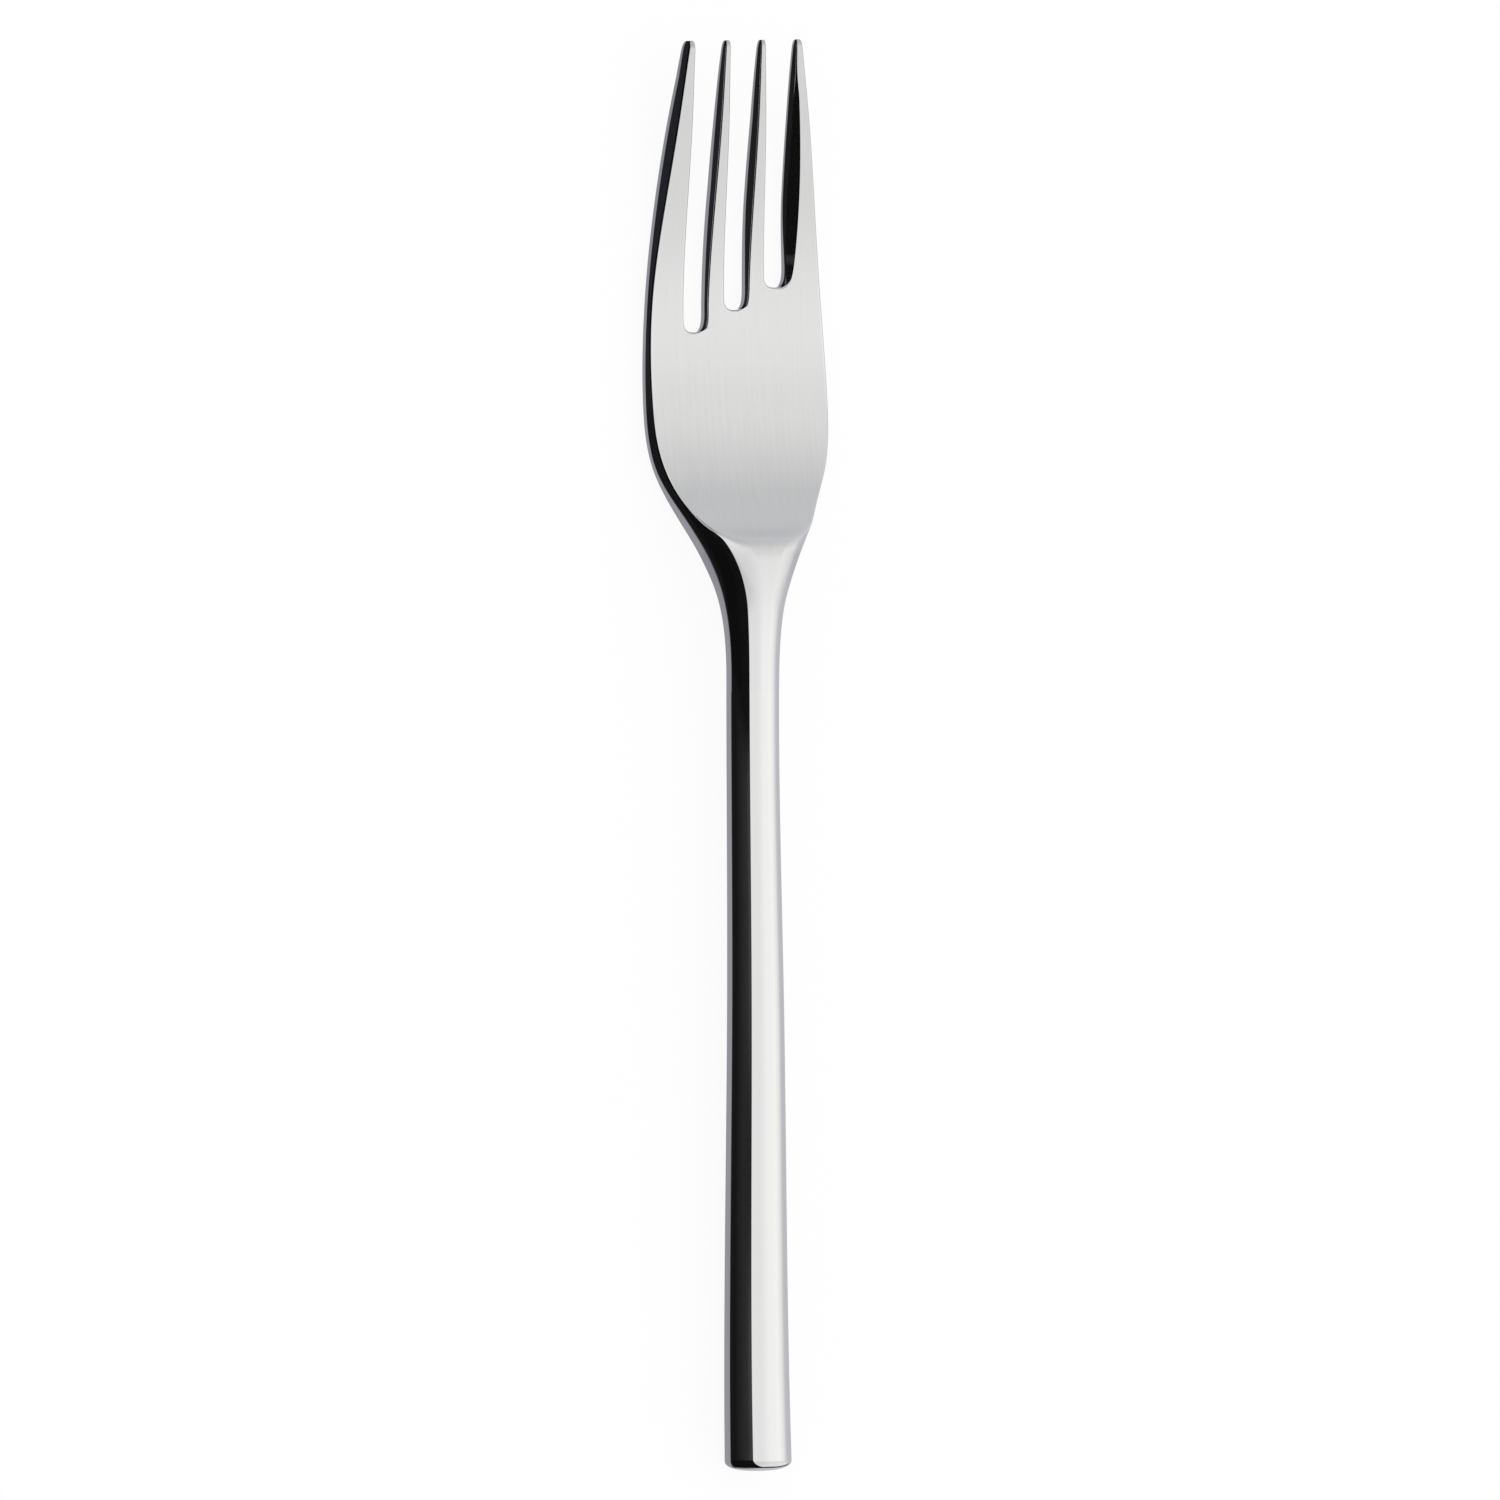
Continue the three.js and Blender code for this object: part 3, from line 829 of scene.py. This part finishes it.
def ramp_node(tree, position, stops, low, high):
    """A colour ramp through stops given over a range, read at a position in the range's own units."""
    reach = add_node(tree, "ShaderNodeMapRange", inputs={"From Min": low, "From Max": high})
    tree.links.new(position, reach.inputs[0])
    ramp = add_node(tree, "ShaderNodeValToRGB")
    elements = ramp.color_ramp.elements
    while len(elements) < len(stops):
        elements.new(0.5)
    for element, (stop, colour) in zip(elements, stops):
        element.position = (stop - low) / (high - low)
        shades = colour if isinstance(colour, tuple) else (colour,) * 3
        element.color = (*shades, 1)
    tree.links.new(reach.outputs[0], ramp.inputs[0])
    return ramp.outputs[0]


def colour_mix(tree, kind, factor, first, second):
    """A colour Mix node whose inputs are sockets, numbers or colours."""
    node = add_node(tree, "ShaderNodeMix", data_type="RGBA", blend_type=kind)
    for socket, value in zip((node.inputs[0], node.inputs[6], node.inputs[7]), (factor, first, second)):
        if isinstance(value, (int, float, tuple)):
            socket.default_value = value
        else:
            tree.links.new(value, socket)
    return node.outputs[2]


def streaks(tree, scale):
    """Noise on Object coordinates, drawn out along the fork by a scale for each axis in cycles a metre."""
    place = add_node(tree, "ShaderNodeTexCoord").outputs["Object"]
    mapping = add_node(tree, "ShaderNodeMapping", inputs={"Scale": scale})
    tree.links.new(place, mapping.inputs["Vector"])
    noise = add_node(tree, "ShaderNodeTexNoise", inputs={"Scale": 1.0, "Detail": STREAK_DETAIL})
    tree.links.new(mapping.outputs[0], noise.inputs["Vector"])
    return noise.outputs[0]


def streak_roughness(tree, noise, shares, roughness):
    """A roughness that streaks raise from its least: both are shares of the roughness as set."""
    least, added = shares
    streaked = math_node(tree, "MULTIPLY", noise, added * roughness)
    return math_node(tree, "ADD", streaked, least * roughness)


def steel_material(name, colour, steel):
    """Polished steel: fine lengthwise brushing where the satin attribute says, faint wear everywhere."""
    material, tree = new_material(name)
    link = tree.links.new
    satin = add_node(tree, "ShaderNodeAttribute", attribute_name="satin").outputs["Fac"]
    brushing = streaks(tree, BRUSHING_SCALE)
    wear = streaks(tree, WEAR_SCALE)
    shader = add_node(tree, "ShaderNodeBsdfPrincipled", inputs={"Metallic": 1.0})
    brushed = streak_roughness(tree, brushing, SATIN_ROUGHNESS, steel.satin)
    worn = streak_roughness(tree, wear, POLISH_ROUGHNESS, steel.polish)
    rough = math_node(tree, "ADD", math_node(tree, "MULTIPLY", satin, brushed), worn)
    link(rough, shader.inputs["Roughness"])
    tones = [tuple(share * part for part in colour) for share in SATIN_TONES]
    tone = ramp_node(tree, brushing, tuple(zip(SATIN_LEVELS, tones)), 0, 1)
    parts = add_node(tree, "ShaderNodeSeparateXYZ")
    link(add_node(tree, "ShaderNodeTexCoord").outputs["Object"], parts.inputs[0])
    place = math_node(tree, "SUBTRACT", TIPS_Y, math_node(tree, "DIVIDE", parts.outputs["Y"], MM))
    tone = colour_mix(tree, "MIX", satin, (*colour, 1), tone)
    # Painted shade: the colour is darkened by place, along the tines and just behind the crease
    tone = colour_mix(tree, "MULTIPLY", 1.0, tone, ramp_node(tree, place, PAINTED_SHADE_BY_PLACE, 0, BUTT))
    link(tone, shader.inputs["Base Color"])
    depths = {"Strength": BRUSHING_STRENGTH, "Distance": BRUSHING_DEPTH}
    bump = add_node(tree, "ShaderNodeBump", inputs=depths)
    link(math_node(tree, "MULTIPLY", brushing, satin), bump.inputs["Height"])
    link(bump.outputs[0], shader.inputs["Normal"])
    output = add_node(tree, "ShaderNodeOutputMaterial")
    link(shader.outputs[0], output.inputs[0])
    return material


def floor_material(studio):
    """Plain pale floor. The camera sees it white, with a share of its own shading kept for the shadow."""
    material, tree = new_material("pale_floor")
    link = tree.links.new
    rays = add_node(tree, "ShaderNodeLightPath")
    plain = add_node(tree, "ShaderNodeBsdfDiffuse", inputs={"Color": (*studio.floor_colour, 1)})
    white = add_node(tree, "ShaderNodeEmission")
    seen = math_node(tree, "MULTIPLY", rays.outputs["Is Camera Ray"], 1 - studio.shadow)
    mix = add_node(tree, "ShaderNodeMixShader")
    link(seen, mix.inputs[0])
    link(plain.outputs[0], mix.inputs[1])
    link(white.outputs[0], mix.inputs[2])
    output = add_node(tree, "ShaderNodeOutputMaterial")
    link(mix.outputs[0], output.inputs[0])
    return material


# Stage

# Linear colours of the studio where no lamp shines: the dark left, the pale right, and straight below
DARK = (0.005, 0.005, 0.005)
PALE = (0.56, 0.555, 0.60)
BELOW = (0.33, 0.33, 0.365)

# The softbox and what is beside it, by the angle that a direction leans towards +X, in degrees
ACROSS = (
    (5, (0.876, 0.876, 0.876)),
    (18, (0.912, 0.911, 0.908)),
    (32, (1.01, 1.005, 0.995)),
    (37, (1.045, 1.04, 1.015)),
    (41, (1.03, 1.025, 1.005)),
    (48, (0.96, 0.958, 0.95)),
    (54, (0.91, 0.91, 0.91)),
    (65, (0.765, 0.765, 0.775)),
    (73, (0.62, 0.62, 0.645)),
    (90, PALE),
)
# The share along the fork, further down, counts in full up to the first of these angles, not past the second
SOFTBOX_END = 36
PALE_START = 76
# The softbox's left edge: its angle from straight up, its softness, and how far it draws in past the butt
SOFTBOX_EDGE = math.radians(-36.2)
SOFTBOX_SOFTNESS = 0.013
SOFTBOX_DRAW = 0.12
# Share of the softbox's brightness by the angle along the fork, positive towards the tips
ALONG = (
    (-120, 0.6),
    (-108, 0.85),
    (-40, 0.8),
    (-24, 0.82),
    (-16, 0.97),
    (-3, 1.0),
    (3, 1.0),
    (8, 0.95),
    (12, 0.83),
    (16, 0.735),
    (21, (0.66, 0.665, 0.67)),
    (33, (0.615, 0.63, 0.645)),
    (60, (0.63, 0.64, 0.655)),
    (84, (0.647, 0.655, 0.675)),
    (95, (0.69, 0.70, 0.715)),
)
# The lamps reach below the horizon past the butt by this slope
HORIZON_SLOPE = 0.62
HORIZON_SOFTNESS = 0.02
# A dark line lies just under that edge, past the butt only
BUTT_LINE = ((-0.30, 0.0), (-0.24, 1.0))
BUTT_LINE_START = ((-0.5, 1.0), (-0.3, 0.0))
# Below the horizon it is dark to the left of these slants of a direction, and pale to the right of them
PALE_SLANTS = (0.30, 0.48)
# The grey straight below shows in full under the first of these heights of a direction, not over the second
BELOW_HEIGHTS = (-0.864, -0.856)
# Grey that the dark side gains close to square with the fork, by the angle from straight up towards +X
LIFT = (
    (-152, 0.0),
    (-150, 0.006),
    (-131, 0.004),
    (-112, 0.011),
    (-94, 0.016),
    (-60, 0.025),
    (-50, 0.045),
    (-37, 0.05),
    (-35.5, 0.0),
)
LIFT_ANGLES = ((-0.9, 0.0), (-0.6, 1.0), (2.0, 1.0), (3.5, 0.0))
# Grey that the dark side gains low down and further towards the tips
LOW_LIFT = (0.011, 0.012, 0.017)
LOW_LIFT_HEIGHTS = (-0.855, -0.82)
LOW_LIFT_ANGLES = ((1.0, 0.0), (3.0, 1.0), (20.0, 1.0), (30.0, 0.0))
# How far the floor lies under the fork, in metres
FLOOR_DROP = 0.02 * MM


def build_world(studio):
    """Studio light by direction alone: a big softbox above, dark to the left, pale grey below and right."""
    world = bpy.data.worlds.new("studio")
    bpy.context.scene.world = world
    world.use_nodes = True
    tree = world.node_tree
    tree.nodes.clear()
    link = tree.links.new
    direction = add_node(tree, "ShaderNodeTexCoord").outputs["Generated"]
    parts = add_node(tree, "ShaderNodeSeparateXYZ")
    link(direction, parts.inputs[0])
    x, y, z = parts.outputs
    to_degrees = math.degrees(1)
    across = math_node(tree, "MULTIPLY", math_node(tree, "ARCSINE", x, 0), to_degrees)
    around = math_node(tree, "MULTIPLY", math_node(tree, "ARCTAN2", x, z), to_degrees)
    along = math_node(tree, "MULTIPLY", math_node(tree, "ARCTAN2", y, z), to_degrees)
    to_tips = math_node(tree, "MULTIPLY", math_node(tree, "ARCSINE", y, 0), to_degrees)
    lamp = ramp_node(tree, across, ACROSS, -90, 90)
    lamp_share = ramp_node(tree, along, ALONG, -180, 180)
    in_softbox = ramp_node(tree, across, ((SOFTBOX_END, 1.0), (PALE_START, 0.0)), -90, 90)
    above = colour_mix(tree, "MULTIPLY", in_softbox, lamp, lamp_share)
    past_butt = math_node(tree, "MINIMUM", y, 0)
    inward = math_node(tree, "ADD", math_node(tree, "MULTIPLY", x, math.cos(SOFTBOX_EDGE)),
                       math_node(tree, "MULTIPLY", z, -math.sin(SOFTBOX_EDGE)))
    inward = math_node(tree, "ADD", inward, math_node(tree, "MULTIPLY", past_butt, SOFTBOX_DRAW))
    edge = ((-SOFTBOX_SOFTNESS, 0.0), (SOFTBOX_SOFTNESS, 1.0))
    above = colour_mix(tree, "MIX", ramp_node(tree, inward, edge, -1, 1), (*DARK, 1), above)
    sides = ramp_node(tree, x, tuple(zip(PALE_SLANTS, (DARK, PALE))), -1, 1)
    straight_down = ramp_node(tree, z, tuple(zip(BELOW_HEIGHTS, (1.0, 0.0))), -1, 1)
    below = colour_mix(tree, "MIX", straight_down, sides, (*BELOW, 1))
    over_horizon = math_node(tree, "SUBTRACT", z, math_node(tree, "MULTIPLY", past_butt, HORIZON_SLOPE))
    line = math_node(tree, "MULTIPLY", ramp_node(tree, over_horizon, BUTT_LINE, -1, 1),
                     ramp_node(tree, y, BUTT_LINE_START, -1, 1))
    below = colour_mix(tree, "MIX", line, below, (*DARK, 1))
    horizon = ((-HORIZON_SOFTNESS, 0.0), (HORIZON_SOFTNESS, 1.0))
    light = colour_mix(tree, "MIX", ramp_node(tree, over_horizon, horizon, -1, 1), below, above)
    lift = ramp_node(tree, around, LIFT, -180, 180)
    light = colour_mix(tree, "ADD", ramp_node(tree, to_tips, LIFT_ANGLES, -90, 90), light, lift)
    low = ramp_node(tree, z, tuple(zip(LOW_LIFT_HEIGHTS, (LOW_LIFT, (0, 0, 0)))), -1, 1)
    low = colour_mix(tree, "MIX", straight_down, low, (0, 0, 0, 1))
    light = colour_mix(tree, "ADD", ramp_node(tree, to_tips, LOW_LIFT_ANGLES, -90, 90), light, low)
    studio_light = add_node(tree, "ShaderNodeBackground", inputs={"Strength": studio.strength})
    link(light, studio_light.inputs["Color"])
    backdrop = add_node(tree, "ShaderNodeBackground", inputs={"Color": (1, 1, 1, 1), "Strength": 1.0})
    rays = add_node(tree, "ShaderNodeLightPath")
    mix = add_node(tree, "ShaderNodeMixShader")
    link(rays.outputs["Is Glossy Ray"], mix.inputs[0])
    link(backdrop.outputs[0], mix.inputs[1])
    link(studio_light.outputs[0], mix.inputs[2])
    output = add_node(tree, "ShaderNodeOutputWorld")
    link(mix.outputs[0], output.inputs[0])


def build_floor(studio):
    """A plain square floor just under the fork. The steel mirrors the studio's light in its place."""
    reach = studio.floor_size / 2
    corners = np.array(((-1, -1), (1, -1), (1, 1), (-1, 1))) * reach
    points = np.column_stack((corners, np.full(len(corners), -FLOOR_DROP)))
    mesh = bpy.data.meshes.new("floor")
    mesh.from_pydata(points.tolist(), [], [(0, 1, 2, 3)])
    mesh.materials.append(floor_material(studio))
    floor = bpy.data.objects.new("floor", mesh)
    floor.visible_glossy = False
    bpy.context.scene.collection.objects.link(floor)


def build_camera():
    """The photograph's camera: square to the fork's length, tilted to its left, with parallel rays."""
    tilt_sine, tilt_cosine = math.sin(CAMERA_TILT), math.cos(CAMERA_TILT)
    roll_sine, roll_cosine = math.sin(CAMERA_ROLL), math.cos(CAMERA_ROLL)
    across = np.array((tilt_cosine, 0, tilt_sine))
    along = np.array((0, 1, 0))
    back = np.array((-tilt_sine, 0, tilt_cosine))
    right = roll_cosine * across - roll_sine * along
    up = roll_sine * across + roll_cosine * along
    place = (AIM_ACROSS * across + AIM_ALONG * along) * MM + CAMERA_DISTANCE * back
    data = bpy.data.cameras.new("camera")
    data.type = "ORTHO"
    data.ortho_scale = FRAME_PIXELS / PIXELS_PER_MM * MM
    camera = bpy.data.objects.new("camera", data)
    turn = np.column_stack((right, up, back, place))
    camera.matrix_world = Matrix((*turn.tolist(), (0, 0, 0, 1)))
    bpy.context.scene.collection.objects.link(camera)
    bpy.context.scene.camera = camera


# Operators

class FORK_OT_head(bpy.types.Operator):
    """Build the head: tines, bowl, neck and tang"""

    bl_idname = "fork.head"
    bl_label = "Build Head"

    def execute(self, context):
        steel = context.scene.fork_steel
        material = steel_material("satin_polished_steel", steel.head_colour, steel)
        piece = build_mesh("head", head_patches(context.scene.fork_edges), material)
        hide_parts("fork_head")
        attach(piece, "root")
        return {"FINISHED"}


class FORK_OT_handle(bpy.types.Operator):
    """Build the hollow handle: front and back shells and the cap at the butt"""

    bl_idname = "fork.handle"
    bl_label = "Build Handle"

    def execute(self, context):
        steel = context.scene.fork_steel
        edges = context.scene.fork_edges
        material = steel_material("mirror_polished_steel", steel.handle_colour, steel)
        pieces = (
            ("front_shell", "handle_front_shell", shell_patches(True, edges)),
            ("back_shell", "handle_back_shell", shell_patches(False, edges)),
            ("end_cap", "butt_cap", cap_patches(edges)),
        )
        for name, node, patches in pieces:
            piece = build_mesh(name, patches, material)
            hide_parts(node)
            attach(piece, "root")
        return {"FINISHED"}


class FORK_OT_stage(bpy.types.Operator):
    """Set the stage: floor, studio light and camera"""

    bl_idname = "fork.stage"
    bl_label = "Set Stage"

    def execute(self, context):
        studio = context.scene.fork_studio
        build_floor(studio)
        build_world(studio)
        build_camera()
        context.scene.view_settings.view_transform = "Standard"
        return {"FINISHED"}


class FORK_PT_panel(bpy.types.Panel):
    """Sizes and colours of the fork, and the steps that build it"""

    bl_idname = "FORK_PT_panel"
    bl_label = "Dessert Fork"
    bl_space_type = "VIEW_3D"
    bl_region_type = "UI"
    bl_category = "Fork"

    def draw(self, context):
        layout = self.layout
        for group in (context.scene.fork_edges, context.scene.fork_steel, context.scene.fork_studio):
            box = layout.box()
            for name in group.__annotations__:
                box.prop(group, name)
        for step in (FORK_OT_head, FORK_OT_handle, FORK_OT_stage):
            layout.operator(step.bl_idname)


CLASSES = (ForkEdges, ForkSteel, ForkStudio, FORK_OT_head, FORK_OT_handle, FORK_OT_stage, FORK_PT_panel)


def register():
    for cls in CLASSES:
        bpy.utils.register_class(cls)
    bpy.types.Scene.fork_edges = bpy.props.PointerProperty(type=ForkEdges)
    bpy.types.Scene.fork_steel = bpy.props.PointerProperty(type=ForkSteel)
    bpy.types.Scene.fork_studio = bpy.props.PointerProperty(type=ForkStudio)


def unregister():
    del bpy.types.Scene.fork_studio
    del bpy.types.Scene.fork_steel
    del bpy.types.Scene.fork_edges
    for cls in reversed(CLASSES):
        bpy.utils.unregister_class(cls)


def main():
    register()
    bpy.ops.fork.head()
    bpy.ops.fork.handle()
    bpy.ops.fork.stage()


if __name__ == "__main__":
    main()
